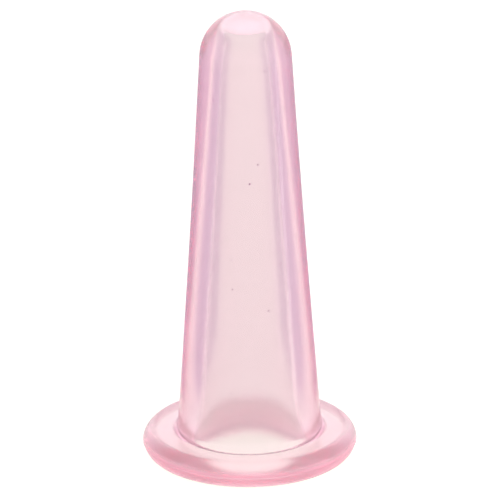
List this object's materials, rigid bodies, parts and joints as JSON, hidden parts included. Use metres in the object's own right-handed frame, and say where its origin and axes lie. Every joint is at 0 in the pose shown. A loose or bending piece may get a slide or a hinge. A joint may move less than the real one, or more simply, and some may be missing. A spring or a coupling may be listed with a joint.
{
  "type": "silicone cupping cup",
  "caption": "Small translucent silicone cupping cup: a tapered closed tube with a domed crown and a blind cavity that flares at the mouth, on a thick round sealing flange.",
  "frame": {"origin": "centre of the mouth, on the flat underside of the sealing flange", "axes": "+Z along the cup's axis from the mouth to the crown; the two pinched sides face -X and +X, and -Y is the front"},
  "size_m": [0.03, 0.03, 0.065],
  "materials": {
    "silicone": "smooth translucent pink silicone, slightly glossy"
  },
  "bodies": {
    "root": {"cup_shell": "silicone"},
    "left_wall": {"left_squeeze_wall": "silicone"},
    "right_wall": {"right_squeeze_wall": "silicone"}
  },
  "joints": [
    {"name": "left_squeeze", "type": "hinge", "parent": "root", "child": "left_wall", "pos_m": [0, 0, 0.0015], "axis": [0, 1, 0], "range_deg": [0, 3.2], "stiffness_Nm_per_rad": 8},
    {"name": "right_squeeze", "type": "hinge", "parent": "left_wall", "child": "right_wall", "pos_m": [0, 0, 0.0015], "axis": [0, 1, 0], "range_deg": [-6.4, 0], "stiffness_Nm_per_rad": 2}
  ],
  "couplings": [
    {"joint": "right_squeeze", "follows": "left_squeeze", "ratio": -2}
  ]
}
